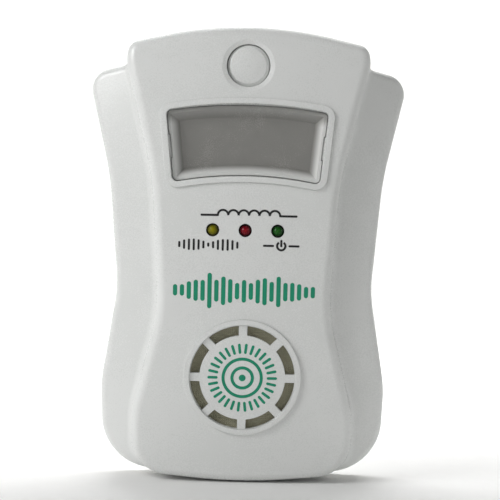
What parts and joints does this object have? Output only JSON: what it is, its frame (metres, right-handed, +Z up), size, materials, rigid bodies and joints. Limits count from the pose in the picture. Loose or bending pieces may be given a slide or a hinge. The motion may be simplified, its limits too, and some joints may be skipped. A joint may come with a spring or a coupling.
{
  "type": "ultrasonic pest repeller",
  "caption": "Plug-in ultrasonic pest repeller with night-light window, push button, indicator lamps and a round sound grille, wings each side.",
  "frame": {"origin": "centre of the wall-side face, midway between the two plug blades", "axes": "+Z up along the body, +Y towards the wall the way the blades point, front faces -Y, +X to the right seen from the front"},
  "size_m": [0.0938, 0.0528, 0.1342],
  "materials": {
    "blade_clamp_plate": "matte",
    "board_screws": "zinc",
    "case_screws": "black zinc",
    "clamp_screws": "zinc",
    "controller_chip": "moulded epoxy",
    "drive_transistor": "moulded epoxy",
    "dropper_capacitor": "satin",
    "field_coil_bobbin": "nylon",
    "field_coil_core": "soft iron",
    "field_coil_leads": "insulated wire",
    "field_coil_winding": "enamelled copper",
    "front_cover": "gloss",
    "fuse_resistor": "lacquered",
    "indicator_lamp_green": "gloss resin",
    "indicator_lamp_leads": "tinned",
    "indicator_lamp_red": "gloss resin",
    "indicator_lamp_yellow": "gloss resin",
    "lamp_spacer": "matte",
    "light_box": "matte",
    "live_blade": "nickel plated",
    "live_wire": "insulated wire",
    "main_board": "satin lacquer",
    "neutral_blade": "nickel plated",
    "neutral_wire": "insulated wire",
    "night_light_lamps": "clear resin",
    "night_light_lens": "frosted translucent",
    "piezo_disc": "plated",
    "piezo_support_ring": "matte",
    "plug_insert": "matte",
    "push_button": "gloss",
    "rating_label": "blank label",
    "rear_cover": "satin",
    "rectifier_diodes": "moulded epoxy",
    "resistors": "lacquered",
    "smoothing_capacitor": "sleeved can",
    "sound_screen": "woven screen",
    "speaker_cone": "pressed paper",
    "speaker_gasket": "foam",
    "speaker_housing": "matte",
    "speaker_leads": "insulated wire",
    "speaker_screws": "zinc",
    "step_up_choke_core": "ferrite",
    "step_up_choke_winding": "enamelled copper",
    "switch_body": "matte",
    "switch_plunger": "matte"
  },
  "bodies": {
    "housing": {"blade_clamp_plate": "blade_clamp_plate", "board_screws": "board_screws", "case_screws": "case_screws", "clamp_screws": "clamp_screws", "controller_chip": "controller_chip", "drive_transistor": "drive_transistor", "dropper_capacitor": "dropper_capacitor", "field_coil_bobbin": "field_coil_bobbin", "field_coil_core": "field_coil_core", "field_coil_leads": "field_coil_leads", "field_coil_winding": "field_coil_winding", "front_cover": "front_cover", "fuse_resistor": "fuse_resistor", "indicator_lamp_green": "indicator_lamp_green", "indicator_lamp_leads": "indicator_lamp_leads", "indicator_lamp_red": "indicator_lamp_red", "indicator_lamp_yellow": "indicator_lamp_yellow", "lamp_spacer": "lamp_spacer", "light_box": "light_box", "live_blade": "live_blade", "live_wire": "live_wire", "main_board": "main_board", "neutral_blade": "neutral_blade", "neutral_wire": "neutral_wire", "night_light_lamps": "night_light_lamps", "night_light_lens": "night_light_lens", "piezo_disc": "piezo_disc", "piezo_support_ring": "piezo_support_ring", "plug_insert": "plug_insert", "rating_label": "rating_label", "rear_cover": "rear_cover", "rectifier_diodes": "rectifier_diodes", "resistors": "resistors", "smoothing_capacitor": "smoothing_capacitor", "sound_screen": "sound_screen", "speaker_cone": "speaker_cone", "speaker_gasket": "speaker_gasket", "speaker_housing": "speaker_housing", "speaker_leads": "speaker_leads", "speaker_screws": "speaker_screws", "step_up_choke_core": "step_up_choke_core", "step_up_choke_winding": "step_up_choke_winding", "switch_body": "switch_body"},
    "button": {"push_button": "push_button", "switch_plunger": "switch_plunger"}
  },
  "joints": [
    {"name": "button_press", "type": "slide", "parent": "housing", "child": "button", "axis": [0, 1, 0], "range_m": [0, 0.0015], "stiffness_N_per_m": 600, "springref_m": -0.0005}
  ]
}
